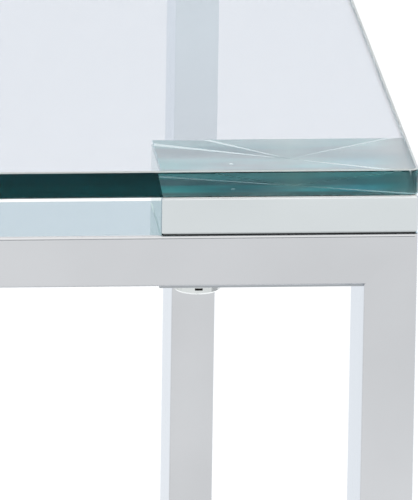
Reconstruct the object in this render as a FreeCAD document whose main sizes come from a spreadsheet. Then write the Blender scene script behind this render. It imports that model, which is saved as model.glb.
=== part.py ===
import FreeCAD, Part

import os

import Sketcher
from FreeCAD import Vector

# A glass-topped console table on a welded frame of flat polished steel tube.
#
# Frame of reference: +Z is up, the long front faces -Y, the right end is +X, and the origin is the
# centre of the footprint on the floor. The front and rear frames are each two legs and a rail,
# mitred and welded. Two side rails, one at each end near the floor, weld the frames together. The
# glass stands on four solid steel blocks, one on each end of each rail. A block sits on a thin
# rubber gasket, is bonded to the glass by a clear film, and is pulled down by a screw through the
# rail. A plug in each leg carries a screw foot.

doc = FreeCAD.newDocument("console_table")

# Driving dimensions in millimetres: (alias, value, what it sets).
SIZES = [
    ("length", 1000, "overall length, along X"),
    ("depth", 450, "overall depth, along Y"),
    ("height", 750, "floor to the top of the glass, feet screwed in"),
    ("tube_face", 10, "narrow side of the frame tube, which faces the front"),
    ("tube_deep", 25, "wide side of the frame tube"),
    ("tube_wall", 1.2, "wall of the frame tube"),
    ("tube_round", 0.7, "outer edge radius of the frame tube"),
    ("glass_thick", 5.2, "toughened glass of nominal 5 mm"),
    ("glass_round", 1.6, "corner radius of the glass in plan"),
    ("glass_arris", 0.25, "ground arris on the glass edges"),
    ("block_long", 48.6, "corner block, along the rail"),
    ("block_thick", 7, "corner block, height"),
    ("block_round", 0.6, "upright edges of the corner block"),
    ("block_edge", 0.3, "broken edge at the top and bottom of the block"),
    ("gasket_thick", 0.25, "rubber under each block"),
    ("gasket_inset", 0.4, "gasket edge behind the block's long sides and outer end"),
    ("gasket_gap", 3, "gasket edge behind the block's inner end"),
    ("film_thick", 0.15, "clear adhesive between block and glass"),
    ("film_inset", 0.25, "film edge behind the block's side"),
    ("line_hub", 0.1, "half the width of a line in the film where the lines meet"),
    ("line_rim", 0.4, "half the width of a line in the film at the block's edge"),
    ("plate_thick", 0.8, "load plate under the rail"),
    ("plate_inset", 2, "load plate edge behind the rail's face"),
    ("screw_radius", 2.5, "M5 screws"),
    ("screw_clearance", 0.25, "radial room round the clamp screw"),
    ("screw_inset", 8, "clamp screw from the block's inner end"),
    ("screw_grip", 4.6, "length of clamp screw in the block"),
    ("head_radius", 4.5, "clamp screw head"),
    ("head_tall", 3.2, "clamp screw head"),
    ("head_edge", 0.4, "broken edge of the screw head"),
    ("slot_wide", 1.5, "width of the cross slot through the screw head"),
    ("slot_tall", 0.45, "height of the cross slot"),
    ("slot_level", 1.1, "cross slot's middle above the head's underside"),
    ("socket_across", 3, "hex socket in the screw head, across flats"),
    ("socket_deep", 1, "hex socket in the screw head"),
    ("thread_play", 0.02, "radial play of a screwed or pinned fit"),
    ("sleeve_wall", 1.3, "spacer sleeve inside the rail"),
    ("pin_radius", 1.5, "locating pin"),
    ("pin_inset", 16, "locating pin from the block's outer end"),
    ("pin_up", 3.2, "length of locating pin in the block"),
    ("pin_down", 2.4, "length of locating pin in the rail"),
    ("foot_room", 8, "floor to the underside of the leg plug"),
    ("plug_flange", 1, "leg plug flange under the leg"),
    ("plug_deep", 15, "leg plug inside the leg"),
    ("plug_play", 0.05, "leg plug fit inside the tube"),
    ("foot_play", 0.06, "radial play of the foot's screw and disc"),
    ("foot_gap", 0.3, "axial gap between parts that turn past each other"),
    ("foot_travel", 6, "how far a foot screws out"),
    ("thread_engaged", 7, "thread left in the plug at full travel"),
    ("hex_across", 8, "spanner flats on the foot, across flats"),
    ("hex_tall", 2.5, "spanner flats on the foot, height"),
    ("disc_radius", 3.1, "disc at the lower end of the foot's screw"),
    ("disc_tall", 1.3, "disc at the lower end of the foot's screw"),
    ("pad_radius", 4.8, "foot pad on the floor"),
    ("pad_top_radius", 4.1, "foot pad at its top"),
    ("pad_floor", 1, "pad under the disc"),
    ("pad_lip", 0.8, "pad lip over the disc"),
    ("pad_edge", 0.4, "bevel round the bottom of the pad"),
]

sheet = doc.addObject("Spreadsheet::Sheet", "Sheet")
for row, (alias, value, meaning) in enumerate(SIZES, start=1):
    sheet.set(f"A{row}", alias)
    sheet.set(f"B{row}", str(value))
    sheet.set(f"C{row}", meaning)
    sheet.setAlias(f"B{row}", alias)
doc.recompute()

# Levels and places that several sub-parts share, as expressions of the sheet.
GLASS_BOTTOM = "(Sheet.height - Sheet.glass_thick)"
FILM_BOTTOM = f"({GLASS_BOTTOM} - Sheet.film_thick)"
BLOCK_BOTTOM = f"({FILM_BOTTOM} - Sheet.block_thick)"
RAIL_TOP = f"({BLOCK_BOTTOM} - Sheet.gasket_thick)"
RAIL_BOTTOM = f"({RAIL_TOP} - Sheet.tube_face)"
LEG_BOTTOM = "(Sheet.foot_room + Sheet.plug_flange)"
RAIL_Y = "(Sheet.depth / 2 - Sheet.tube_deep / 2)"
LEG_X = "(Sheet.length / 2 - Sheet.tube_face / 2)"
BLOCK_X = "(Sheet.length / 2 - Sheet.block_long / 2)"
SCREW_X = "(Sheet.length / 2 - Sheet.block_long + Sheet.screw_inset)"
PIN_X = "(Sheet.length / 2 - Sheet.pin_inset)"
SCREW_HOLE = "(Sheet.screw_radius + Sheet.screw_clearance)"
PIN_HOLE = "(Sheet.pin_radius + Sheet.thread_play)"
TAPPED_HOLE = "(Sheet.screw_radius + Sheet.thread_play)"
FOOT_HOLE = "(Sheet.screw_radius + Sheet.foot_play)"
HALF_FACE = "(Sheet.tube_face / 2)"
HALF_DEEP = "(Sheet.tube_deep / 2)"
HALF_BORE = f"({HALF_FACE} - Sheet.tube_wall)"
BORE_DEEP = "(Sheet.tube_deep - 2 * Sheet.tube_wall)"

ENDS = {"right": 1, "left": -1}
SIDES = {"front": -1, "rear": 1}

subparts = []


def number(expression):
    """The value of an expression of the sheet."""
    return float(sheet.evalExpression(expression))


def place(part, x="0", y="0", z="0"):
    """Binds a sub-part's position to the sheet."""
    for axis, expression in (("x", x), ("y", y), ("z", z)):
        part.setExpression(f"Placement.Base.{axis}", expression)


def new_body(label):
    body = doc.addObject("PartDesign::Body", label)
    body.Label = label
    subparts.append(body)
    return body


def new_sketch(body, role, level="0"):
    """A sketch on one of the body's own origin planes, moved along its normal."""
    sketch = body.newObject("Sketcher::SketchObject", body.Label + "_sketch")
    plane = [f for f in body.Origin.OriginFeatures if f.Role == role][0]
    sketch.AttachmentSupport = (plane, "")
    sketch.MapMode = "FlatFace"
    sketch.setExpression("AttachmentOffset.Base.z", level)
    return sketch


def pin_point(sketch, geometry, point, x, y):
    """Fixes a sketch point at two expressions, measured from the sketch's origin."""
    for kind, other_axis, expression in (("DistanceX", -2, x), ("DistanceY", -1, y)):
        value = number(expression)
        if abs(value) < 1e-9:
            on_axis = Sketcher.Constraint("PointOnObject", geometry, point, other_axis)
            sketch.addConstraint(on_axis)
            continue
        distance = Sketcher.Constraint(kind, -1, 1, geometry, point, value)
        index = sketch.addConstraint(distance)
        sketch.setExpression(f"Constraints[{index}]", expression)


def polygon(sketch, corners):
    """A closed outline with straight sides through corners given as pairs of expressions."""
    first = sketch.GeometryCount
    spots = [Vector(number(x), number(y), 0) for x, y in corners]
    for start, end in zip(spots, spots[1:] + spots[:1]):
        sketch.addGeometry(Part.LineSegment(start, end), False)
    for i, (x, y) in enumerate(corners):
        following = first + (i + 1) % len(corners)
        sketch.addConstraint(Sketcher.Constraint("Coincident", first + i, 2, following, 1))
        pin_point(sketch, first + i, 1, x, y)


def rectangle(sketch, half_x, half_y, x="0", y="0"):
    corners = []
    for sign_x, sign_y in ((-1, -1), (1, -1), (1, 1), (-1, 1)):
        corners.append((f"{x} + {sign_x} * {half_x}", f"{y} + {sign_y} * {half_y}"))
    polygon(sketch, corners)


def circle(sketch, radius, x="0", y="0"):
    centre = Vector(number(x), number(y), 0)
    index = sketch.addGeometry(Part.Circle(centre, Vector(0, 0, 1), number(radius)), False)
    size = sketch.addConstraint(Sketcher.Constraint("Radius", index, number(radius)))
    sketch.setExpression(f"Constraints[{size}]", radius)
    pin_point(sketch, index, 3, x, y)


def hexagon(sketch, across):
    """A regular hexagon about the sketch's origin, two of its flats facing along Y."""
    corners = []
    for step in range(6):
        reach = f"({across} / 2 / cos(30))"
        corners.append((f"{reach} * cos({60 * step})", f"{reach} * sin({60 * step})"))
    polygon(sketch, corners)


def pad(body, sketch, length, middle=False):
    feature = body.newObject("PartDesign::Pad", body.Label + "_pad")
    feature.Profile = sketch
    feature.Midplane = middle
    feature.setExpression("Length", length)
    doc.recompute()
    return feature


def pocket(body, sketch, length, middle=False, upwards=False):
    """Cuts a sketch's outline out of the body, and stops if nothing was cut."""
    before = body.Shape.Volume
    feature = body.newObject("PartDesign::Pocket", body.Label + "_pocket")
    feature.Profile = sketch
    feature.Midplane = middle
    feature.Reversed = upwards
    feature.setExpression("Length", length)
    doc.recompute()
    if body.Shape.Volume >= before - 1e-6:
        raise RuntimeError(f"a pocket of {body.Label} cuts nothing")
    return feature


def revolve(body, sketch):
    """Turns a sketch on the XZ plane round the body's Z axis."""
    feature = body.newObject("PartDesign::Revolution", body.Label + "_turned")
    feature.Profile = sketch
    feature.ReferenceAxis = (sketch, ["V_Axis"])
    feature.Angle = 360
    doc.recompute()
    return feature


def edges_where(feature, wanted):
    """The names of a feature's edges that pass a test."""
    edges = enumerate(feature.Shape.Edges, start=1)
    return [f"Edge{index}" for index, edge in edges if wanted(edge)]


def is_along(edge, axis):
    if not isinstance(edge.Curve, Part.Line):
        return False
    return abs(edge.tangentAt(edge.FirstParameter).dot(axis)) > 0.9999


def is_level(edge):
    """True where an edge lies in one horizontal plane."""
    return edge.BoundBox.ZLength < 1e-6


def dress(body, kind, feature, names, property_name, size):
    """A Fillet or Chamfer on named edges of a feature, its size bound to the sheet."""
    dressed = body.newObject("PartDesign::" + kind, f"{body.Label}_{kind.lower()}")
    dressed.Base = (feature, names)
    dressed.setExpression(property_name, size)
    doc.recompute()
    return dressed


def primitive(kind, name, **sizes):
    """A Part primitive whose named sizes are expressions of the sheet."""
    shape = doc.addObject("Part::" + kind, name)
    for size, expression in sizes.items():
        shape.setExpression(size, expression)
    return shape


def cut(label, base, tool):
    result = doc.addObject("Part::Cut", label)
    result.Base = base
    result.Tool = tool
    result.Label = label
    return result


def make_glass_top():
    """The glass sheet: rounded corners in plan and a ground arris on every edge."""
    body = new_body("glass_top")
    outline = new_sketch(body, "XY_Plane")
    rectangle(outline, "(Sheet.length / 2)", "(Sheet.depth / 2)")
    sheet_of_glass = pad(body, outline, "Sheet.glass_thick")
    upright = edges_where(sheet_of_glass, lambda edge: is_along(edge, Vector(0, 0, 1)))
    rounded = dress(body, "Fillet", sheet_of_glass, upright, "Radius", "Sheet.glass_round")
    rims = edges_where(rounded, is_level)
    dress(body, "Chamfer", rounded, rims, "Size", "Sheet.glass_arris")
    place(body, z=GLASS_BOTTOM)


def make_rail(side, sign_y):
    """A long rail: tube mitred at 45 degrees at both ends, drilled for the screws and pins."""
    body = new_body(side + "_rail")
    profile = new_sketch(body, "XZ_Plane")
    top = "(Sheet.length / 2)"
    bottom = "(Sheet.length / 2 - Sheet.tube_face)"
    half = HALF_FACE
    polygon(profile, [("-" + bottom, "-" + half), (bottom, "-" + half), (top, half), ("-" + top, half)])
    solid = pad(body, profile, "Sheet.tube_deep", middle=True)
    long_edges = edges_where(solid, lambda edge: is_along(edge, Vector(1, 0, 0)))
    dress(body, "Fillet", solid, long_edges, "Radius", "Sheet.tube_round")
    bore = new_sketch(body, "XZ_Plane")
    bore_top = f"({top} - Sheet.tube_wall)"
    bore_bottom = f"({bottom} + Sheet.tube_wall)"
    low = "-" + HALF_BORE
    corners = [("-" + bore_bottom, low), (bore_bottom, low)]
    corners += [(bore_top, HALF_BORE), ("-" + bore_top, HALF_BORE)]
    polygon(bore, corners)
    pocket(body, bore, BORE_DEEP, middle=True)
    screw_holes = new_sketch(body, "XY_Plane")
    pin_holes = new_sketch(body, "XY_Plane")
    for sign in ENDS.values():
        circle(screw_holes, SCREW_HOLE, f"{sign} * {SCREW_X}")
        circle(pin_holes, PIN_HOLE, f"{sign} * {PIN_X}")
    pocket(body, screw_holes, "2 * Sheet.tube_face", middle=True)
    pocket(body, pin_holes, "Sheet.tube_face", upwards=True)
    place(body, y=f"{sign_y} * {RAIL_Y}", z=f"{RAIL_TOP} - {HALF_FACE}")


def make_leg(corner, sign_x, sign_y):
    """A leg: tube with a square lower end and an upper end mitred to meet the rail."""
    body = new_body("leg_" + corner)
    inner = f"-{sign_x} * {HALF_FACE}"
    outer = f"{sign_x} * {HALF_FACE}"
    inner_top = f"({RAIL_BOTTOM} - {LEG_BOTTOM})"
    outer_top = f"({RAIL_TOP} - {LEG_BOTTOM})"
    profile = new_sketch(body, "XZ_Plane")
    polygon(profile, [(inner, "0"), (outer, "0"), (outer, outer_top), (inner, inner_top)])
    solid = pad(body, profile, "Sheet.tube_deep", middle=True)
    long_edges = edges_where(solid, lambda edge: is_along(edge, Vector(0, 0, 1)))
    dress(body, "Fillet", solid, long_edges, "Radius", "Sheet.tube_round")
    bore = new_sketch(body, "XZ_Plane")
    bore_inner = f"-{sign_x} * {HALF_BORE}"
    bore_outer = f"{sign_x} * {HALF_BORE}"
    corners = [(bore_inner, "0"), (bore_outer, "0")]
    corners += [(bore_outer, f"({outer_top} - Sheet.tube_wall)")]
    corners += [(bore_inner, f"({inner_top} + Sheet.tube_wall)")]
    polygon(bore, corners)
    pocket(body, bore, BORE_DEEP, middle=True)
    place(body, f"{sign_x} * {LEG_X}", f"{sign_y} * {RAIL_Y}", LEG_BOTTOM)


def make_side_rail(end, sign_x):
    """A side rail near the floor: square-ended tube between the front and the rear leg."""
    body = new_body("side_rail_" + end)
    profile = new_sketch(body, "XZ_Plane")
    rectangle(profile, HALF_FACE, HALF_DEEP)
    between = "(Sheet.depth - 2 * Sheet.tube_deep)"
    solid = pad(body, profile, between, middle=True)
    long_edges = edges_where(solid, lambda edge: is_along(edge, Vector(0, 1, 0)))
    dress(body, "Fillet", solid, long_edges, "Radius", "Sheet.tube_round")
    bore = new_sketch(body, "XZ_Plane")
    rectangle(bore, HALF_BORE, f"({HALF_DEEP} - Sheet.tube_wall)")
    pocket(body, bore, between, middle=True)
    place(body, f"{sign_x} * {LEG_X}", z=f"{LEG_BOTTOM} + {HALF_DEEP}")


def make_corner_block(corner, sign_x, sign_y):
    """A solid block, tapped from below for the clamp screw and bored for the pin."""
    body = new_body("corner_block_" + corner)
    outline = new_sketch(body, "XY_Plane")
    rectangle(outline, "(Sheet.block_long / 2)", HALF_DEEP)
    solid = pad(body, outline, "Sheet.block_thick")
    upright = edges_where(solid, lambda edge: is_along(edge, Vector(0, 0, 1)))
    rounded = dress(body, "Fillet", solid, upright, "Radius", "Sheet.block_round")
    rims = edges_where(rounded, is_level)
    dress(body, "Chamfer", rounded, rims, "Size", "Sheet.block_edge")
    tapped = new_sketch(body, "XY_Plane")
    circle(tapped, TAPPED_HOLE, f"{sign_x} * ({SCREW_X} - {BLOCK_X})")
    pocket(body, tapped, "Sheet.screw_grip + 2 * Sheet.thread_play", upwards=True)
    bored = new_sketch(body, "XY_Plane")
    circle(bored, PIN_HOLE, f"{sign_x} * ({PIN_X} - {BLOCK_X})")
    pocket(body, bored, "Sheet.pin_up + 2 * Sheet.thread_play", upwards=True)
    place(body, f"{sign_x} * {BLOCK_X}", f"{sign_y} * {RAIL_Y}", BLOCK_BOTTOM)


def make_block_gasket(corner, sign_x, sign_y):
    """Rubber between block and rail, punched for the screw and the pin."""
    body = new_body("block_gasket_" + corner)
    outline = new_sketch(body, "XY_Plane")
    outer_end = f"{sign_x} * (Sheet.block_long / 2 - Sheet.gasket_inset)"
    inner_end = f"-{sign_x} * (Sheet.block_long / 2 - Sheet.gasket_gap)"
    side = f"({HALF_DEEP} - Sheet.gasket_inset)"
    polygon(outline, [(inner_end, "-" + side), (outer_end, "-" + side), (outer_end, side), (inner_end, side)])
    circle(outline, SCREW_HOLE, f"{sign_x} * ({SCREW_X} - {BLOCK_X})")
    circle(outline, PIN_HOLE, f"{sign_x} * ({PIN_X} - {BLOCK_X})")
    pad(body, outline, "Sheet.gasket_thick")
    place(body, f"{sign_x} * {BLOCK_X}", f"{sign_y} * {RAIL_Y}", RAIL_TOP)


# The lines in a bond film meet at the hub and widen towards the block's edges. Places are shares of
# the block, measured from its inner end and from its outer long side. A line that ends on a short
# side is widened across the block, and one that ends on a long side is widened along it.
FILM_HUB = (0.515, 0.47)
FILM_LINE_ENDS = ((0.0, 0.88, "across"), (0.22, 1.0, "along"), (0.93, 1.0, "along"), (1.0, 0.07, "across"))


def make_bond_film(corner, sign_x, sign_y):
    """Clear adhesive in four fields, parted by four fine lines that meet at a hub."""
    body = new_body("bond_film_" + corner)
    outline = new_sketch(body, "XY_Plane")
    inset = "Sheet.film_inset"
    rectangle(outline, f"(Sheet.block_long / 2 - {inset})", f"({HALF_DEEP} - {inset})")
    pad(body, outline, "Sheet.film_thick")

    def spot(share_x, share_y, shift_x="0", shift_y="0"):
        x = f"{sign_x} * ({share_x} - 0.5) * Sheet.block_long + {shift_x}"
        y = f"{sign_y} * (0.5 - {share_y}) * Sheet.tube_deep + {shift_y}"
        return x, y

    for end_x, end_y, widened in FILM_LINE_ENDS:
        line = new_sketch(body, "XY_Plane")
        corners = []
        for place_x, place_y, width, sign in (
            (*FILM_HUB, "Sheet.line_hub", -1),
            (end_x, end_y, "Sheet.line_rim", -1),
            (end_x, end_y, "Sheet.line_rim", 1),
            (*FILM_HUB, "Sheet.line_hub", 1),
        ):
            shift = f"{sign} * {width}"
            shifts = ("0", shift) if widened == "across" else (shift, "0")
            corners.append(spot(place_x, place_y, *shifts))
        polygon(line, corners)
        pocket(body, line, "4 * Sheet.film_thick", middle=True)
    place(body, f"{sign_x} * {BLOCK_X}", f"{sign_y} * {RAIL_Y}", FILM_BOTTOM)


def make_load_plate(corner, sign_x, sign_y):
    """Thin plate under the rail, from the block's inner end to the leg."""
    body = new_body("load_plate_" + corner)
    plate_long = "(Sheet.block_long - Sheet.tube_face)"
    centre = f"(Sheet.length / 2 - Sheet.tube_face - {plate_long} / 2)"
    outline = new_sketch(body, "XY_Plane")
    rectangle(outline, f"({plate_long} / 2)", f"({HALF_DEEP} - Sheet.plate_inset)")
    circle(outline, SCREW_HOLE, f"{sign_x} * ({SCREW_X} - {centre})")
    pad(body, outline, "Sheet.plate_thick")
    level = f"{RAIL_BOTTOM} - Sheet.plate_thick"
    place(body, f"{sign_x} * {centre}", f"{sign_y} * {RAIL_Y}", level)


def make_clamp_screw(corner, sign_x, sign_y):
    """The screw that pulls a block down on the rail, with a cross slot through its head."""
    body = new_body("clamp_screw_" + corner)
    shank = "(Sheet.plate_thick + Sheet.tube_face + Sheet.gasket_thick + Sheet.screw_grip)"
    profile = new_sketch(body, "XZ_Plane")
    corners = [("0", "-Sheet.head_tall"), ("Sheet.head_radius - Sheet.head_edge", "-Sheet.head_tall")]
    corners += [("Sheet.head_radius", "Sheet.head_edge - Sheet.head_tall")]
    corners += [("Sheet.head_radius", "0"), ("Sheet.screw_radius", "0")]
    corners += [("Sheet.screw_radius", shank), ("0", shank)]
    polygon(profile, corners)
    revolve(body, profile)
    socket = new_sketch(body, "XY_Plane", "-Sheet.head_tall")
    hexagon(socket, "Sheet.socket_across")
    pocket(body, socket, "Sheet.socket_deep", upwards=True)
    cross = new_sketch(body, "XZ_Plane")
    low = "Sheet.slot_level - Sheet.slot_tall / 2 - Sheet.head_tall"
    high = "Sheet.slot_level + Sheet.slot_tall / 2 - Sheet.head_tall"
    left, right = "-Sheet.slot_wide / 2", "Sheet.slot_wide / 2"
    polygon(cross, [(left, low), (right, low), (right, high), (left, high)])
    pocket(body, cross, "3 * Sheet.head_radius", middle=True)
    level = f"{RAIL_BOTTOM} - Sheet.plate_thick"
    place(body, f"{sign_x} * {SCREW_X}", f"{sign_y} * {RAIL_Y}", level)


def make_rail_sleeve(corner, sign_x, sign_y):
    """The spacer inside the rail that keeps the clamp screw from crushing the tube."""
    tall = "Sheet.tube_face - 2 * Sheet.tube_wall"
    outside = primitive(
        "Cylinder", "sleeve_outside", Radius=f"{SCREW_HOLE} + Sheet.sleeve_wall", Height=tall
    )
    inside = primitive("Cylinder", "sleeve_inside", Radius=SCREW_HOLE, Height=tall)
    sleeve = cut("rail_sleeve_" + corner, outside, inside)
    level = f"{RAIL_BOTTOM} + Sheet.tube_wall"
    place(sleeve, f"{sign_x} * {SCREW_X}", f"{sign_y} * {RAIL_Y}", level)
    subparts.append(sleeve)


def make_locating_pin(corner, sign_x, sign_y):
    """The pin that keeps a block from turning on its screw."""
    tall = "Sheet.pin_down + Sheet.gasket_thick + Sheet.pin_up"
    name = "locating_pin_" + corner
    pin = primitive("Cylinder", name, Radius="Sheet.pin_radius", Height=tall)
    pin.Label = name
    place(pin, f"{sign_x} * {PIN_X}", f"{sign_y} * {RAIL_Y}", f"{RAIL_TOP} - Sheet.pin_down")
    subparts.append(pin)


def make_leg_plug(corner, sign_x, sign_y):
    """The moulded plug in a leg's lower end: a flange, a shank and a tapped hole."""
    body = new_body("leg_plug_" + corner)
    flange = new_sketch(body, "XY_Plane")
    rectangle(flange, HALF_FACE, HALF_DEEP)
    flat = pad(body, flange, "Sheet.plug_flange")
    upright = edges_where(flat, lambda edge: is_along(edge, Vector(0, 0, 1)))
    dress(body, "Fillet", flat, upright, "Radius", "Sheet.tube_round")
    shank = new_sketch(body, "XY_Plane")
    fit = "Sheet.plug_play"
    rectangle(shank, f"({HALF_BORE} - {fit})", f"({HALF_DEEP} - Sheet.tube_wall - {fit})")
    pad(body, shank, "Sheet.plug_flange + Sheet.plug_deep")
    tapped = new_sketch(body, "XY_Plane")
    circle(tapped, FOOT_HOLE)
    pocket(body, tapped, "4 * Sheet.plug_deep", middle=True)
    place(body, f"{sign_x} * {LEG_X}", f"{sign_y} * {RAIL_Y}", "Sheet.foot_room")


# Levels of a screw foot above the floor.
DISC_BOTTOM = "(Sheet.pad_floor + Sheet.foot_gap / 2)"
DISC_TOP = f"({DISC_BOTTOM} + Sheet.disc_tall)"
LIP_BOTTOM = f"({DISC_TOP} + Sheet.foot_gap / 2)"
PAD_TOP = f"({LIP_BOTTOM} + Sheet.pad_lip)"
HEX_TOP = "(Sheet.foot_room - Sheet.foot_gap)"
STEM_TOP = "(Sheet.foot_room + Sheet.foot_travel + Sheet.thread_engaged)"


def make_foot_pad(corner, sign_x, sign_y):
    """The plastic pad on the floor, hollow inside so that the screw's disc turns in it."""
    body = new_body("foot_pad_" + corner)
    profile = new_sketch(body, "XZ_Plane")
    neck = FOOT_HOLE
    pocket_radius = "(Sheet.disc_radius + Sheet.foot_play)"
    corners = [("0", "0"), ("Sheet.pad_radius - Sheet.pad_edge", "0")]
    corners += [("Sheet.pad_radius", "Sheet.pad_edge"), ("Sheet.pad_radius", "Sheet.pad_floor")]
    corners += [("Sheet.pad_top_radius", PAD_TOP), (neck, PAD_TOP), (neck, LIP_BOTTOM)]
    corners += [(pocket_radius, LIP_BOTTOM), (pocket_radius, "Sheet.pad_floor"), ("0", "Sheet.pad_floor")]
    polygon(profile, corners)
    revolve(body, profile)
    place(body, f"{sign_x} * {LEG_X}", f"{sign_y} * {RAIL_Y}")


def make_foot_screw(corner, sign_x, sign_y):
    """The foot's screw: a disc held in the pad, spanner flats and an M5 thread."""
    body = new_body("foot_screw_" + corner)
    profile = new_sketch(body, "XZ_Plane")
    corners = [("0", DISC_BOTTOM), ("Sheet.disc_radius", DISC_BOTTOM), ("Sheet.disc_radius", DISC_TOP)]
    corners += [("Sheet.screw_radius", DISC_TOP), ("Sheet.screw_radius", STEM_TOP), ("0", STEM_TOP)]
    polygon(profile, corners)
    revolve(body, profile)
    flats = new_sketch(body, "XY_Plane", f"{HEX_TOP} - Sheet.hex_tall")
    hexagon(flats, "Sheet.hex_across")
    pad(body, flats, "Sheet.hex_tall")
    place(body, f"{sign_x} * {LEG_X}", f"{sign_y} * {RAIL_Y}")


make_glass_top()
for side, sign_y in SIDES.items():
    make_rail(side, sign_y)
for end, sign_x in ENDS.items():
    make_side_rail(end, sign_x)
for side, sign_y in SIDES.items():
    for end, sign_x in ENDS.items():
        corner = f"{side}_{end}"
        make_leg(corner, sign_x, sign_y)
        make_corner_block(corner, sign_x, sign_y)
        make_block_gasket(corner, sign_x, sign_y)
        make_bond_film(corner, sign_x, sign_y)
        make_load_plate(corner, sign_x, sign_y)
        make_clamp_screw(corner, sign_x, sign_y)
        make_rail_sleeve(corner, sign_x, sign_y)
        make_locating_pin(corner, sign_x, sign_y)
        make_leg_plug(corner, sign_x, sign_y)
        make_foot_pad(corner, sign_x, sign_y)
        make_foot_screw(corner, sign_x, sign_y)
doc.recompute()

for item in doc.Objects:
    if "Invalid" in item.State or "Error" in item.State:
        raise RuntimeError(f"{item.Label} did not build: {item.State}")
for part in subparts:
    if part.Shape.isNull() or not part.Shape.isValid() or not part.Shape.Solids:
        raise RuntimeError(f"{part.Label} is not a sound solid")

os.makedirs("parts", exist_ok=True)
for part in subparts:
    part.Shape.exportStep(os.path.join("parts", part.Label + ".step"))
print(f"wrote {len(subparts)} parts")
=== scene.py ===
import math

import bmesh
import bpy
from mathutils import Matrix, Vector


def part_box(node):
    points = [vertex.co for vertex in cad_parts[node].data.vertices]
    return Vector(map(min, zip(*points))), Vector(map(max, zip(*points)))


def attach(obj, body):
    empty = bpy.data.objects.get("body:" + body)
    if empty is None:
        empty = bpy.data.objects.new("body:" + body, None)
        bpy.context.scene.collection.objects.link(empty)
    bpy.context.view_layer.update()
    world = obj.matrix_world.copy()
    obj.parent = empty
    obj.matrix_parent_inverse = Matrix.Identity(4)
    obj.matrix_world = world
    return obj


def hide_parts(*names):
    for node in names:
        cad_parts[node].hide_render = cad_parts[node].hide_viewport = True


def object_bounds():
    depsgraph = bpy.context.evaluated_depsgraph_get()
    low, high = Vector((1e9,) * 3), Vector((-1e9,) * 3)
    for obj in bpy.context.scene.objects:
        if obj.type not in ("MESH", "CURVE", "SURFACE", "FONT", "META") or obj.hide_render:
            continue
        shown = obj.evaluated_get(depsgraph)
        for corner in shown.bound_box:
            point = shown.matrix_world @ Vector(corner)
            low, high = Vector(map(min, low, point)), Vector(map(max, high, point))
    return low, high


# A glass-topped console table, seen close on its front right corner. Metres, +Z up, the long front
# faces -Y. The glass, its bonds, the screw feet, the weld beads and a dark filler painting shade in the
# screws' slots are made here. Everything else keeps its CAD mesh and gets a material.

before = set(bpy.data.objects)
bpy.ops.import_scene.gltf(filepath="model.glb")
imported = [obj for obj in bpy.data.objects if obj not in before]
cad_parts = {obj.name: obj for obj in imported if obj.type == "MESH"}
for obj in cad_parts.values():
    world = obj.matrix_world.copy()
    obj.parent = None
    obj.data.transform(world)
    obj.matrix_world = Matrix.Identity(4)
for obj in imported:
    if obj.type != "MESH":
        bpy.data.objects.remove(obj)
cad_low, cad_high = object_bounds()

MM = 0.001
CORNERS = {
    "front_right": (1, -1),
    "front_left": (-1, -1),
    "rear_right": (1, 1),
    "rear_left": (-1, 1),
}
scene = bpy.context.scene
scene.view_settings.view_transform = "Standard"
scene.cycles.max_bounces = 48
scene.cycles.transmission_bounces = 48
scene.cycles.glossy_bounces = 16
scene.cycles.transparent_max_bounces = 16
scene.cycles.use_denoising = True


# ---------------------------------------------------------------- node helpers


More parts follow.
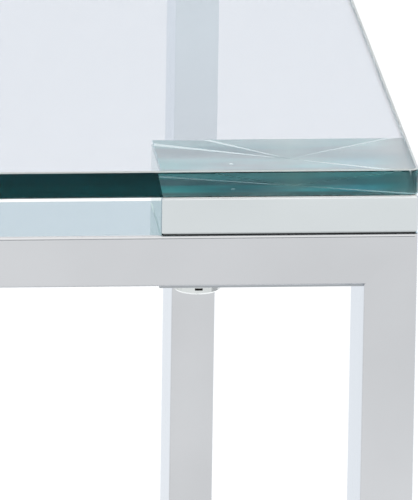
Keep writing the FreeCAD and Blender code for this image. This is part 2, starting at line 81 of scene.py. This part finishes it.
class Graph:
    """Short names for building a material's node tree."""

    def __init__(self, tree):
        self.tree = tree

    def node(self, kind, **settings):
        made = self.tree.nodes.new("ShaderNode" + kind)
        for name, value in settings.items():
            setattr(made, name, value)
        return made

    def feed(self, node, socket, value):
        """Sets a socket, or links it where value is another node's output."""
        if isinstance(value, bpy.types.NodeSocket):
            self.tree.links.new(value, node.inputs[socket])
        else:
            node.inputs[socket].default_value = value
        return node

    def math(self, operation, first, second=0.0):
        made = self.node("Math", operation=operation)
        self.feed(made, 0, first)
        self.feed(made, 1, second)
        return made.outputs[0]

    def split(self, vector):
        """The X, Y and Z outputs of a vector."""
        made = self.node("SeparateXYZ")
        self.feed(made, 0, vector)
        return made.outputs

    def normal(self, kind="Normal"):
        return self.node("NewGeometry").outputs[kind]

    def near(self, value, middle, inner, outer, share):
        """The given share close to a middle value, and nothing further off than outer."""
        away = self.math("ABSOLUTE", self.math("SUBTRACT", value, middle))
        return self.ramp(away, inner, outer, share, 0.0)

    def mix(self, factor, first, second):
        made = self.node("Mix", data_type="RGBA")
        self.feed(made, "Factor", factor)
        for socket, value in ((6, first), (7, second)):
            self.feed(made, socket, value if isinstance(value, bpy.types.NodeSocket) else (*value, 1))
        return made.outputs[2]

    def noise(self, vector, scale, detail=3.0, roughness=0.5):
        made = self.node("TexNoise")
        self.feed(made, "Vector", vector)
        self.feed(made, "Scale", scale)
        self.feed(made, "Detail", detail)
        self.feed(made, "Roughness", roughness)
        return made.outputs["Fac"]

    def stretch(self, vector, factors):
        """The vector scaled on each axis, so that a pattern is drawn out along the small ones."""
        made = self.node("Mapping")
        self.feed(made, "Vector", vector)
        made.inputs["Scale"].default_value = factors
        return made.outputs[0]

    def ramp(self, value, low, high, out_low, out_high):
        made = self.node("MapRange", clamp=True)
        for index, number in enumerate((value, low, high, out_low, out_high)):
            self.feed(made, index, number)
        return made.outputs[0]

    def bump(self, height, strength, distance):
        made = self.node("Bump")
        self.feed(made, "Height", height)
        self.feed(made, "Strength", strength)
        self.feed(made, "Distance", distance)
        return made.outputs[0]

    def place(self):
        return self.node("TexCoord").outputs["Object"]

    def face_value(self, name):
        """A number stored on each face of the mesh."""
        return self.node("Attribute", attribute_name=name, attribute_type="GEOMETRY").outputs["Fac"]

    def leaned(self, side, amount):
        """The surface normal leaned along Y, away from the table's middle, by the given amount."""
        lean = self.node("CombineXYZ")
        self.feed(lean, "Y", self.math("MULTIPLY", self.math("SIGN", side), amount))
        total = self.node("VectorMath", operation="ADD")
        self.feed(total, 0, self.normal())
        self.feed(total, 1, lean.outputs[0])
        unit = self.node("VectorMath", operation="NORMALIZE")
        self.feed(unit, 0, total.outputs[0])
        return unit.outputs[0]


def new_material(name):
    material = bpy.data.materials.new(name)
    material.use_nodes = True
    material.node_tree.nodes.clear()
    graph = Graph(material.node_tree)
    out = graph.node("OutputMaterial")
    shader = graph.node("BsdfPrincipled")
    graph.feed(out, "Surface", shader.outputs[0])
    return material, graph, shader, out


# ---------------------------------------------------------------- materials


def polished_steel(
    name, colour, grain_axis, roughness=0.07, rim_tint=(0.83, 0.87, 0.92), painted_top_reflection=None, painted_height_light=None
):
    """Mirror-polished steel: buffing lines along one axis, faint clouding and a few fine scratches.

    The colour for upward faces is a painted reflection, and the setting for height (low, high, colour)
    paints a change of colour with height as painted light.
    """
    material, g, shader, _ = new_material(name)
    place = g.place()
    across_scale, along_scale = 900.0, 14.0
    grain = [along_scale if axis == grain_axis else across_scale for axis in "XYZ"]
    lines = g.noise(g.stretch(place, grain), 1.0, 2.0)
    cloud = g.noise(place, 18.0, 4.0)
    wide = g.noise(g.stretch(place, [5.0 if v == along_scale else 26.0 for v in grain]), 1.0, 3.0)
    wave = g.noise(g.stretch(place, [v / 25 for v in grain]), 1.0, 2.0)
    shade = g.math("ADD", g.math("MULTIPLY", cloud, 0.5), g.math("MULTIPLY", wide, 0.5))
    tint = g.mix(g.ramp(shade, 0.42, 0.58, 0.0, 1.0), [v * 0.94 for v in colour], [v * 1.03 for v in colour])
    # Painted reflection: upward faces take their own paler colour.
    if painted_top_reflection:
        tint = g.mix(g.ramp(g.split(g.normal())["Z"], 0.95, 0.99, 0.0, 1.0), tint, painted_top_reflection)
    # Painted light: the colour changes with height.
    if painted_height_light:
        low, high, high_colour = painted_height_light
        tint = g.mix(g.ramp(g.split(place)["Z"], low, high, 0.0, 1.0), tint, high_colour)
    g.feed(shader, "Base Color", tint)
    g.feed(shader, "Metallic", 1.0)
    g.feed(shader, "Specular Tint", (*rim_tint, 1.0))
    scratch = g.noise(g.stretch(place, [3.0 if v == along_scale else v * 2.2 for v in grain]), 1.0, 1.0)
    marks = g.ramp(scratch, 0.70, 0.74, 0.0, 0.10)
    smear = g.ramp(cloud, 0.4, 0.75, roughness * 0.75, roughness * 1.5)
    g.feed(shader, "Roughness", g.math("ADD", g.math("ADD", smear, marks), g.math("MULTIPLY", lines, 0.03)))
    height = g.math("ADD", g.math("MULTIPLY", lines, 0.15), wave)
    g.feed(shader, "Normal", g.bump(height, 0.12, 0.00004))
    return material


def clear_glass():
    """Float glass: green by depth, clear faces with faint smears, and a finely ground upper arris."""
    material, g, shader, out = new_material("clear_glass")
    place = g.place()
    up = g.split(g.normal("True Normal"))["Z"]
    upright = g.math("LESS_THAN", g.math("ABSOLUTE", up), 0.3)
    ground = g.math("MULTIPLY", g.math("GREATER_THAN", up, 0.3), g.math("LESS_THAN", up, 0.95))
    smear = g.noise(g.stretch(place, (9.0, 22.0, 9.0)), 1.0, 5.0, 0.6)
    grit = g.noise(g.stretch(place, (300.0, 2500.0, 900.0)), 1.0, 3.0)
    g.feed(shader, "Base Color", g.mix(ground, (0.93, 0.89, 0.905), (0.84, 0.85, 0.83)))
    g.feed(shader, "Transmission Weight", g.math("SUBTRACT", 1.0, g.math("MULTIPLY", ground, 0.55)))
    g.feed(shader, "IOR", 1.52)
    g.feed(shader, "Specular Tint", g.mix(upright, (1.0, 1.0, 1.0), (0.20, 0.44, 0.46)))
    frost = g.math("MULTIPLY", ground, g.ramp(grit, 0.3, 0.7, 0.35, 0.65))
    g.feed(shader, "Roughness", g.math("ADD", g.ramp(smear, 0.55, 0.8, 0.0, 0.012), frost))
    volume = g.node("VolumeAbsorption")
    volume.inputs["Color"].default_value = (0.06, 0.477, 0.492, 1.0)
    volume.inputs["Density"].default_value = 15.0
    g.feed(out, "Volume", volume.outputs[0])
    return material


# The share of the hazy body whose colour paints the edge-on light.
HAZE_AND_EDGE_LIGHT_SHARE = 0.32


def add_haze_and_edge_light(g, mirror, colour, out):
    """Mixes a fixed share of a hazy body into the mirror: partly the adhesive's haze, and its colour is
    painted light, the blue-green glow seen edge-on through the glass.
    """
    body = g.node("BsdfPrincipled")
    g.feed(body, "Base Color", colour)
    g.feed(body, "Roughness", 0.6)
    g.feed(body, "Specular IOR Level", 0.0)
    blend = g.node("MixShader")
    g.feed(blend, 0, HAZE_AND_EDGE_LIGHT_SHARE)
    g.feed(blend, 1, mirror.outputs[0])
    g.feed(blend, 2, body.outputs[0])
    g.feed(out, "Surface", blend.outputs[0])


def bond_metal():
    """The polished block top under cured adhesive: a mirror with a haze in it, partly real adhesive and
    partly painted light.

    The haze's colour paints the blue-green light seen edge-on through the glass, with painted bright and
    dark bands, ends and spots; it varies by two distances, inward from the table's long side and along from
    its end.
    """
    material, g, mirror, out = new_material("bonded_steel")
    place = g.place()
    spot = g.split(place)
    inward = g.math("SUBTRACT", abs(cad_low.y), g.math("ABSOLUTE", spot["Y"]))
    along = g.math("SUBTRACT", abs(cad_low.x), g.math("ABSOLUTE", spot["X"]))
    cloud = g.noise(place, 90.0, 4.0)
    field = g.face_value("field_shade")
    pale = (1.0, 0.97, 0.92)
    # Each field is painted a little paler or darker by its shade value: painted shade.
    metal = g.mix(field, (0.98, 0.93, 0.89), pale)
    g.feed(mirror, "Base Color", g.mix(g.ramp(cloud, 0.3, 0.7, 0.0, 0.35), metal, pale))
    g.feed(mirror, "Metallic", 1.0)
    g.feed(mirror, "Specular Tint", (0.04, 0.90, 0.96, 1.0))
    g.feed(mirror, "Roughness", g.ramp(cloud, 0.3, 0.7, 0.28, 0.38))
    ripple = g.noise(g.stretch(place, (50.0, 170.0, 170.0)), 1.0, 3.0)
    lean = g.math("ADD", g.math("MULTIPLY", field, 0.06), g.ramp(ripple, 0.35, 0.65, 0.0, 0.05))
    g.feed(mirror, "Normal", g.leaned(spot["Y"], lean))
    streak = g.noise(g.stretch(place, (45.0, 160.0, 160.0)), 1.0, 2.0)
    # Painted light: the blue-green glow seen edge-on through the glass, in streaks.
    teal = g.mix(g.ramp(streak, 0.35, 0.65, 0.0, 1.0), (0.005, 0.255, 0.345), (0.018, 0.78, 0.87))
    # Painted shade and painted highlights on it: a dark band, a pale inner band, a bright end, a blue
    # highlight, a glow, a dark end and a dark outer edge.
    painted_shade_band = g.near(inward, 16.5 * MM, 1.5 * MM, 4.0 * MM, 0.65)
    teal = g.mix(painted_shade_band, teal, (0.003, 0.18, 0.27))
    painted_light_band = g.ramp(inward, 19.5 * MM, 22.5 * MM, 0.0, 0.7)
    teal = g.mix(painted_light_band, teal, (0.18, 0.78, 0.81))
    outer_half = g.ramp(inward, 10 * MM, 14 * MM, 1.0, 0.0)
    painted_highlight_end = g.math("MULTIPLY", g.ramp(along, 36 * MM, 45 * MM, 0.0, 0.8), outer_half)
    teal = g.mix(painted_highlight_end, teal, (0.012, 0.95, 0.95))
    painted_blue_highlight = g.math("MULTIPLY", g.near(along, 11 * MM, 1 * MM, 6 * MM, 0.7), outer_half)
    teal = g.mix(painted_blue_highlight, teal, (0.009, 0.66, 0.95))
    inner_half = g.ramp(inward, 7 * MM, 12 * MM, 0.0, 1.0)
    painted_glow = g.math("MULTIPLY", g.near(along, 23 * MM, 0.0, 6 * MM, 0.6), inner_half)
    teal = g.mix(painted_glow, teal, (0.39, 0.87, 0.81))
    painted_shade_end = g.ramp(along, 2 * MM, 8 * MM, 0.9, 0.0)
    teal = g.mix(painted_shade_end, teal, (0.03, 0.18, 0.21))
    painted_shade_edge = g.ramp(inward, 4.2 * MM, 6.2 * MM, 0.9, 0.0)
    teal = g.mix(painted_shade_edge, teal, (0.03, 0.135, 0.15))
    add_haze_and_edge_light(g, mirror, teal, out)
    return material


def bond_line():
    """The bright lines and bubbles, where the adhesive has drawn up into a small leaning ridge."""
    material, g, shader, out = new_material("bond_line")
    place = g.place()
    cloud = g.noise(place, 400.0, 2.0)
    shine = g.ramp(cloud, 0.3, 0.7, 0.0, 1.0)
    g.feed(shader, "Base Color", g.mix(shine, (0.95, 0.98, 0.98), (1.0, 1.0, 1.0)))
    g.feed(shader, "Metallic", 1.0)
    g.feed(shader, "Roughness", g.ramp(cloud, 0.3, 0.7, 0.12, 0.22))
    most_lean = 0.34
    lean = g.math("MULTIPLY", g.face_value("field_shade"), most_lean)
    g.feed(shader, "Normal", g.leaned(g.split(place)["Y"], lean))
    # The haze's colour here is painted edge-on light, as on the bonded steel.
    add_haze_and_edge_light(g, shader, (0.30, 0.85, 0.85, 1.0), out)
    return material


def rubber():
    """Matt black rubber with a fine speckle."""
    material, g, shader, _ = new_material("gasket_rubber")
    speckle = g.noise(g.place(), 2500.0, 2.0)
    g.feed(shader, "Base Color", g.mix(speckle, (0.008, 0.009, 0.011), (0.018, 0.019, 0.022)))
    g.feed(shader, "Roughness", 0.75)
    g.feed(shader, "Normal", g.bump(speckle, 0.3, 0.0001))
    return material


def slot_shade_finish():
    """Dark, cloudy and dull: painted shade for the screw slots."""
    material, g, shader, _ = new_material("painted_slot_shade")
    cloud = g.noise(g.place(), 1800.0, 3.0)
    g.feed(shader, "Base Color", g.mix(cloud, (0.010, 0.009, 0.008), (0.05, 0.045, 0.04)))
    g.feed(shader, "Roughness", 0.9)
    return material


def turned_steel(name, colour, roughness, painted_edge_highlight=None):
    """Bright turned steel of the screws, with fine rings and, if asked, a painted highlight on the downward
    faces of the lower edge.
    """
    material, g, shader, _ = new_material(name)
    place = g.place()
    rings = g.noise(g.stretch(place, (60.0, 60.0, 5000.0)), 1.0, 2.0)
    cloud = g.noise(place, 260.0, 4.0)
    tint = g.mix(g.ramp(cloud, 0.35, 0.7, 0.0, 1.0), [v * 0.88 for v in colour], colour)
    # Painted highlight: downward faces take a lighter colour.
    if painted_edge_highlight:
        tint = g.mix(g.ramp(g.split(g.normal())["Z"], -0.35, -0.12, 1.0, 0.0), tint, painted_edge_highlight)
    g.feed(shader, "Base Color", tint)
    g.feed(shader, "Metallic", 1.0)
    g.feed(shader, "Roughness", g.ramp(cloud, 0.3, 0.8, roughness * 0.8, roughness * 1.5))
    g.feed(shader, "Normal", g.bump(rings, 0.15, 0.00005))
    return material


def moulded_plastic():
    """Black plastic with a fine moulded grain."""
    material, g, shader, _ = new_material("moulded_plastic")
    grain = g.noise(g.place(), 3200.0, 3.0)
    cloud = g.noise(g.place(), 120.0, 3.0)
    g.feed(shader, "Base Color", g.mix(cloud, (0.018, 0.018, 0.020), (0.035, 0.035, 0.038)))
    g.feed(shader, "Roughness", g.ramp(cloud, 0.3, 0.7, 0.42, 0.6))
    g.feed(shader, "Normal", g.bump(grain, 0.35, 0.00006))
    return material


STEEL = (0.585, 0.59, 0.603)
# The rails' upward faces get a painted reflection colour.
STEEL_X = polished_steel("steel_along_x", STEEL, "X", painted_top_reflection=(0.92, 1.0, 0.96))
STEEL_Y = polished_steel("steel_along_y", STEEL, "Y")
STEEL_Z = polished_steel("steel_along_z", STEEL, "Z")
# The rear legs are painted lighter above 0.60 to 0.66 m: painted light.
STEEL_REAR = polished_steel("steel_rear_legs", STEEL, "Z", painted_height_light=(0.60, 0.66, (0.70, 0.76, 0.77)))
BLOCK_STEEL = polished_steel("block_steel", (0.635, 0.665, 0.67), "X", 0.06, rim_tint=(0.90, 0.97, 0.96))
PLATE_STEEL = turned_steel("plate_steel", (0.42, 0.44, 0.46), 0.35)
# The screws' lower edges get a painted highlight colour.
SCREW_STEEL = turned_steel("screw_steel", (0.68, 0.70, 0.69), 0.16, (0.92, 0.94, 0.93))
WELD_STEEL = turned_steel("weld_steel", (0.50, 0.50, 0.51), 0.28)
RUBBER = rubber()
SLOT_SHADE = slot_shade_finish()
PLASTIC = moulded_plastic()
GLASS = clear_glass()
BOND_METAL = bond_metal()
BOND_LINE = bond_line()


def dress_cad(prefixes, material):
    """Gives a material to every CAD node whose name starts with one of the prefixes."""
    for name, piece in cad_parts.items():
        if name.startswith(prefixes):
            piece.data.materials.clear()
            piece.data.materials.append(material)


dress_cad(("front_rail", "rear_rail"), STEEL_X)
dress_cad(("side_rail",), STEEL_Y)
dress_cad(("leg_front",), STEEL_Z)
dress_cad(("leg_rear",), STEEL_REAR)
dress_cad(("corner_block",), BLOCK_STEEL)
dress_cad(("load_plate",), PLATE_STEEL)
dress_cad(("clamp_screw", "rail_sleeve", "locating_pin", "foot_screw"), SCREW_STEEL)
dress_cad(("block_gasket",), RUBBER)
dress_cad(("leg_plug", "foot_pad"), PLASTIC)


# ---------------------------------------------------------------- mesh helpers


def finish_piece(bm, name, materials, body="frame", smooth=True):
    """Turns a bmesh into a linked piece that rides on a CAD body."""
    bmesh.ops.recalc_face_normals(bm, faces=bm.faces)
    mesh = bpy.data.meshes.new(name)
    bm.to_mesh(mesh)
    bm.free()
    for material in materials:
        mesh.materials.append(material)
    if smooth:
        mesh.shade_smooth()
        mesh.set_sharp_from_angle(angle=math.radians(20))
    piece = bpy.data.objects.new(name, mesh)
    scene.collection.objects.link(piece)
    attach(piece, body)
    return piece


def round_point(centre, reach, angle, height):
    """A point at a distance and an angle from a vertical axis."""
    return (centre.x + reach * math.cos(angle), centre.y + reach * math.sin(angle), height)


def join_rings(bm, rings):
    """Walls between each ring of vertices and the next one; the rings have the same length."""
    for lower, upper in zip(rings, rings[1:]):
        for i in range(len(lower)):
            j = (i + 1) % len(lower)
            bm.faces.new((lower[i], lower[j], upper[j], upper[i]))


def close_tube(bm, rings):
    """Walls between the rings, and a face over each end."""
    join_rings(bm, rings)
    bm.faces.new(list(reversed(rings[0])))
    bm.faces.new(rings[-1])


def rounded_outline(half_x, half_y, radius, steps):
    """Points round a rectangle with rounded corners, anticlockwise, centred on the origin."""
    points = []
    for quarter, (sign_x, sign_y) in enumerate(((1, 1), (-1, 1), (-1, -1), (1, -1))):
        centre = Vector((sign_x * (half_x - radius), sign_y * (half_y - radius)))
        for step in range(steps + 1):
            angle = math.pi / 2 * (quarter + step / steps)
            points.append(centre + radius * Vector((math.cos(angle), math.sin(angle))))
    return points


# ---------------------------------------------------------------- glass


def make_glass():
    """The glass sheet with rounded corners and a ground arris along every edge."""
    low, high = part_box("glass_top")
    centre = (low + high) / 2
    half = (high - low) / 2
    corner, steps = 1.6 * MM, 8
    arris, end_arris = 0.25 * MM, 0.5 * MM
    rings = [
        (end_arris, arris, -half.z),
        (0.0, 0.0, arris - half.z),
        (0.0, 0.0, half.z - arris),
        (end_arris, arris, half.z),
    ]
    bm = bmesh.new()
    loops = []
    for inset_x, inset_y, z in rings:
        radius = corner - max(inset_x, inset_y)
        outline = rounded_outline(half.x - inset_x, half.y - inset_y, radius, steps)
        loops.append([bm.verts.new((centre.x + p.x, centre.y + p.y, centre.z + z)) for p in outline])
    close_tube(bm, loops)
    piece = finish_piece(bm, "glass_sheet", [GLASS])
    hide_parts("glass_top")


# Places on a bond are shares of the block: along it from its inner end, and in from its outer long side.
# All four lines meet at the hub. Each has its far end, half its width there in mm, and its ridge's lean.
HUB = (0.515, 0.47)
HUB_HALF_WIDTH = 0.05 * MM
LINES = (
    ((0.0, 0.88), 1.0, 1.0),
    ((0.22, 1.0), 0.75, 0.5),
    ((0.93, 1.0), 0.45, 0.34),
    ((1.0, 0.07), 0.85, 0.95),
)
# Each bubble has its place and its radius in mm.
BUBBLES = (
    (0.285, 0.34, 0.42),
    (0.74, 0.66, 0.12),
    (0.40, 0.80, 0.08),
    (0.62, 0.22, 0.10),
    (0.13, 0.52, 0.07),
)
FIELD_SHADES = (0.75, 0.35, 0.0, 0.55)
WETTED = 0.02 * MM  # how far the adhesive is let into the glass
LINE_GAP = 0.012 * MM  # between a line and the fields beside it
LINE_START = 0.10  # where a line begins, as a share of its length from the hub
MARGIN = 0.3 * MM  # from a field to the block's edges
DRY_FRONT = 0.8 * MM  # the bare strip along the block's outer long side
SQUEEZED_OUT = 1.3 * MM  # how far the adhesive stands out behind the block


def make_bond(corner, sign_x, sign_y):
    """The adhesive: four fields let a hair into the glass, so that glass and steel are in contact."""
    low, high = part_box("bond_film_" + corner)
    block_low, block_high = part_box("corner_block_" + corner)
    size = block_high - block_low
    inner_x = block_low.x if sign_x > 0 else block_high.x
    outer_y = block_low.y if sign_y < 0 else block_high.y
    top, bottom = high.z + WETTED, low.z

    def spot(share):
        depth = size.y + SQUEEZED_OUT
        return Vector((inner_x + sign_x * share[0] * size.x, outer_y - sign_y * share[1] * depth))

    def kept_in(p, front):
        if sign_y < 0:
            low_y, high_y = block_low.y + front, block_high.y + SQUEEZED_OUT
        else:
            low_y, high_y = block_low.y - SQUEEZED_OUT, block_high.y - front
        x = min(max(p.x, block_low.x + MARGIN), block_high.x - MARGIN)
        return Vector((x, min(max(p.y, low_y), high_y)))

    bm = bmesh.new()
    shade = bm.faces.layers.float.new("field_shade")

    def add_plate(points, level, floor_points, material, value):
        upper = [bm.verts.new((p.x, p.y, level)) for p in points]
        lower = [bm.verts.new((p.x, p.y, bottom)) for p in floor_points]
        made = [bm.faces.new(upper), bm.faces.new(list(reversed(lower)))]
        for i in range(len(upper)):
            j = (i + 1) % len(upper)
            made.append(bm.faces.new((upper[i], lower[i], lower[j], upper[j])))
        for face in made:
            face.material_index = material
            face[shade] = value

    hub = spot(HUB)
    spokes = []
    for end, half, _ in LINES:
        along = (spot(end) - hub).normalized()
        across = Vector((-along.y, along.x)) * sign_x * -sign_y
        spokes.append((hub, spot(end), across, half * MM))
    box_corners = [(0.0, 0.0), (1.0, 0.0), (1.0, 1.0), (0.0, 1.0)]
    rim = [(share, None) for share in box_corners] + [(line[0], i) for i, line in enumerate(LINES)]
    rim.sort(key=lambda item: math.atan2(item[0][1] - HUB[1], item[0][0] - HUB[0]))
    first = next(i for i, (_, line) in enumerate(rim) if line is not None)
    rim = rim[first:] + rim[:first]
    fields, current = [], [rim[0]]
    for item in rim[1:] + rim[:1]:
        current.append(item)
        if item[1] is not None:
            fields.append(current)
            current = [item]
    for outline, shade_value in zip(fields, FIELD_SHADES):
        start, end = spokes[outline[0][1]], spokes[outline[-1][1]]
        points = [hub + (start[2] - end[2]).normalized() * HUB_HALF_WIDTH * 1.6]
        points.append(start[1] + start[2] * (start[3] + LINE_GAP))
        points += [spot(share) for share, line in outline[1:-1]]
        points.append(end[1] - end[2] * (end[3] + LINE_GAP))
        upper = [kept_in(p, DRY_FRONT) for p in points]
        add_plate(upper, top, [kept_in(p, MARGIN) for p in points], 0, shade_value)
    for (start, end, across, half), (_, _, lean) in zip(spokes, LINES):
        begin = start + (end - start) * LINE_START
        thin = HUB_HALF_WIDTH + (half - HUB_HALF_WIDTH) * LINE_START
        points = [begin + across * thin, end + across * half, end - across * half, begin - across * thin]
        points = [kept_in(p, MARGIN * 1.5) for p in points]
        add_plate(points, top, points, 1, lean)
    for along, inward, radius in BUBBLES:
        centre = spot((along, inward))
        ring, steps = [], 14
        for step in range(steps):
            angle = math.tau * step / steps
            reach = radius * MM * (1.0 + 0.18 * math.sin(3 * angle + 9 * along))
            ring.append(centre + reach * Vector((math.cos(angle), math.sin(angle))))
        add_plate(ring, top + 0.01 * MM, ring, 1, 1.0)
    piece = finish_piece(bm, "bond_" + corner, [BOND_METAL, BOND_LINE], smooth=False)
    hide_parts("bond_film_" + corner)


# ---------------------------------------------------------------- feet, welds and small marks


def add_lathe(bm, centre, profile, steps=32):
    """Spins a list of (radius, height) pairs about a vertical axis; a radius of 0 makes a tip."""
    rings = []
    for radius, height in profile:
        if radius == 0.0:
            rings.append([bm.verts.new((centre.x, centre.y, height))])
            continue
        angles = [math.tau * step / steps for step in range(steps)]
        rings.append([bm.verts.new(round_point(centre, radius, angle, height)) for angle in angles])
    for lower, upper in zip(rings, rings[1:]):
        for i in range(steps):
            j = (i + 1) % steps
            if len(lower) == 1:
                bm.faces.new((lower[0], upper[j], upper[i]))
            elif len(upper) == 1:
                bm.faces.new((lower[i], lower[j], upper[0]))
            else:
                bm.faces.new((lower[i], lower[j], upper[j], upper[i]))


def make_foot_screw(corner):
    """A foot screw with a cut M5 thread, a chamfered hexagon and the disc that turns in the pad."""
    low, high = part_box("foot_screw_" + corner)
    centre = (low + high) / 2
    pitch, cut_depth, outer = 0.8 * MM, 0.42 * MM, 2.5 * MM
    disc_radius, disc_top = 3.1 * MM, low.z + 1.3 * MM
    hex_half, hex_low = 4.0 * MM, low.z + 2.5 * MM
    hex_top = hex_low + 2.5 * MM
    bm = bmesh.new()
    ease = 0.2 * MM
    disc_and_neck = [
        (0.0, low.z),
        (disc_radius - ease, low.z),
        (disc_radius, low.z + ease),
        (disc_radius, disc_top - ease),
        (disc_radius - ease, disc_top),
        (outer - ease, disc_top),
        (outer - ease, hex_low + ease),
        (0.0, hex_low + ease),
    ]
    add_lathe(bm, centre, disc_and_neck)
    corner_radius, chamfer, chamfered = hex_half / math.cos(math.pi / 6), 0.35 * MM, 0.92
    levels = [(chamfered, hex_low), (1.0, hex_low + chamfer), (1.0, hex_top - chamfer), (chamfered, hex_top)]
    angles = [math.tau * step / 6 + math.pi / 6 for step in range(6)]
    rings = []
    for share, height in levels:
        points = [round_point(centre, corner_radius * share, angle, height) for angle in angles]
        rings.append([bm.verts.new(p) for p in points])
    close_tube(bm, rings)
    steps, rise = 28, 0.1 * MM
    point_tall, point_deep = 0.6 * MM, 0.5 * MM
    start = hex_top - 0.1 * MM
    count = int((high.z - start) / rise)
    thread = []
    for level in range(count + 1):
        height = min(start + level * rise, high.z)
        ring = []
        for step in range(steps):
            turn = step / steps
            phase = ((height - start) / pitch - turn) % 1.0
            depth = cut_depth * max(0.0, 1.0 - abs(phase - 0.5) / 0.4)
            depth = max(depth, (1.0 - (high.z - height) / point_tall) * point_deep)
            ring.append(bm.verts.new(round_point(centre, outer - depth, math.tau * turn, height)))
        thread.append(ring)
    close_tube(bm, thread)
    piece = finish_piece(bm, "threaded_foot_" + corner, [SCREW_STEEL], "screw_" + corner)
    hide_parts("foot_screw_" + corner)


WELD_INSET = 0.6 * MM
WELD_SIZE = 0.7 * MM


def make_weld_bead(name, start, end, side_a, side_b, size):
    """A rippled bead in the angle between two walls that face side_a and side_b."""
    count, ripples = 26, 6.5
    bm = bmesh.new()
    rings = []
    for i in range(count + 1):
        share = i / count
        ripple = 0.82 + 0.18 * math.sin(share * math.tau * ripples)
        ends = 0.5 + 0.5 * math.sin(math.pi * share) ** 0.3
        swell = size * ripple * ends
        spot = start.lerp(end, share)
        ring = [spot - (side_a + side_b) * 0.05 * MM, spot + side_a * swell]
        ring += [spot + (side_a + side_b) * swell * 0.62, spot + side_b * swell]
        rings.append([bm.verts.new(p) for p in ring])
    close_tube(bm, rings)
    finish_piece(bm, name, [WELD_STEEL])


def make_slot_shade(corner):
    """A dark filler in the cross slot of a clamp screw's head, a little below its rim, that paints the
    slot's shade.
    """
    low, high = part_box("clamp_screw_" + corner)
    centre = (low + high) / 2
    slot_level, rim_depth, roughened = 1.1 * MM, 0.25 * MM, 0.08 * MM
    half = Vector((0.73 * MM, (high.y - low.y) / 2 - rim_depth, 0.205 * MM))
    centre.z = low.z + slot_level
    bm = bmesh.new()
    bmesh.ops.create_cube(bm, size=1.0)
    bmesh.ops.scale(bm, vec=half * 2, verts=bm.verts)
    bmesh.ops.subdivide_edges(bm, edges=bm.edges, cuts=5, use_grid_fill=True)
    for vert in bm.verts:
        if abs(vert.co.y) > half.y * 0.99:
            vert.co.y -= math.copysign(roughened * (1 + math.sin(vert.co.x * 9000)), vert.co.y)
        vert.co += centre
    finish_piece(bm, "slot_shade_" + corner, [SLOT_SHADE])


make_glass()
for corner, signs in CORNERS.items():
    make_bond(corner, *signs)
    make_foot_screw(corner)
    make_slot_shade(corner)
for end in ("right", "left"):
    rail_low, rail_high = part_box("side_rail_" + end)
    for side, y, inward in (("front", rail_low.y, 1), ("rear", rail_high.y, -1)):
        start = Vector((rail_low.x + WELD_INSET, y, rail_high.z))
        finish = Vector((rail_high.x - WELD_INSET, y, rail_high.z))
        along_rail, up = Vector((0, inward, 0)), Vector((0, 0, 1))
        make_weld_bead(f"weld_{side}_{end}", start, finish, along_rail, up, WELD_SIZE)


# ---------------------------------------------------------------- stage, light and camera


def make_floor():
    """A very wide pale floor, so that no view of the table reaches past it."""
    bm = bmesh.new()
    reach = 120.0
    bmesh.ops.create_grid(bm, x_segments=2, y_segments=2, size=reach)
    mesh = bpy.data.meshes.new("floor")
    bm.to_mesh(mesh)
    bm.free()
    material, g, shader, _ = new_material("floor_paint")
    cloud = g.noise(g.place(), 1.5, 3.0)
    g.feed(shader, "Base Color", g.mix(cloud, (0.93, 0.935, 0.94), (0.95, 0.95, 0.95)))
    g.feed(shader, "Roughness", 0.9)
    g.feed(shader, "Specular IOR Level", 0.0)
    mesh.materials.append(material)
    floor = bpy.data.objects.new("floor", mesh)
    scene.collection.objects.link(floor)


def make_sky():
    """The studio as a sky: bright overhead, blue-white low down behind, a dimmer wall low in front."""
    world = bpy.data.worlds.new("studio")
    world.use_nodes = True
    world.node_tree.nodes.clear()
    g = Graph(world.node_tree)
    out = g.node("OutputWorld")
    background = g.node("Background")
    direction = g.node("TexCoord").outputs["Generated"]
    parts = g.split(direction)
    across, up = parts["Y"], parts["Z"]
    dark_wall = g.near(up, 0.11, 0.05, 0.10, 1.0)
    front = g.mix(dark_wall, (0.62, 0.66, 0.67), (0.30, 0.31, 0.32))
    low_sky = g.mix(g.ramp(across, -0.5, 0.5, 0.0, 1.0), front, (0.66, 0.72, 0.82))
    reach = g.ramp(across, -0.9, 0.9, 0.38, 0.62)
    rise = g.ramp(g.math("DIVIDE", up, reach), 0.85, 1.25, 0.0, 1.0)
    g.feed(background, "Color", g.mix(rise, low_sky, (1.34, 1.34, 1.33)))
    g.feed(background, "Strength", 1.0)
    g.feed(out, "Surface", background.outputs[0])
    scene.world = world


def make_camera():
    """A long lens looking down on the front right corner, from a little to its left."""
    low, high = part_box("front_rail")
    corner = Vector((high.x, low.y, low.z))
    data = bpy.data.cameras.new("camera")
    data.sensor_width = 36.0
    data.lens = 745.5672
    data.clip_start, data.clip_end = 0.05, 400.0
    camera = bpy.data.objects.new("camera", data)
    eye_from_corner = Vector((-206.158, -1865.768, 543.032)) * MM
    camera.location = corner + eye_from_corner
    yaw, pitch, roll = math.radians(5.1045), math.radians(15.9645), math.radians(0.8597)
    turn = Matrix.Rotation(-yaw, 4, "Z") @ Matrix.Rotation(math.pi / 2 - pitch, 4, "X")
    camera.rotation_euler = (turn @ Matrix.Rotation(roll, 4, "Z")).to_euler()
    scene.collection.objects.link(camera)
    scene.camera = camera


make_floor()
make_sky()
make_camera()
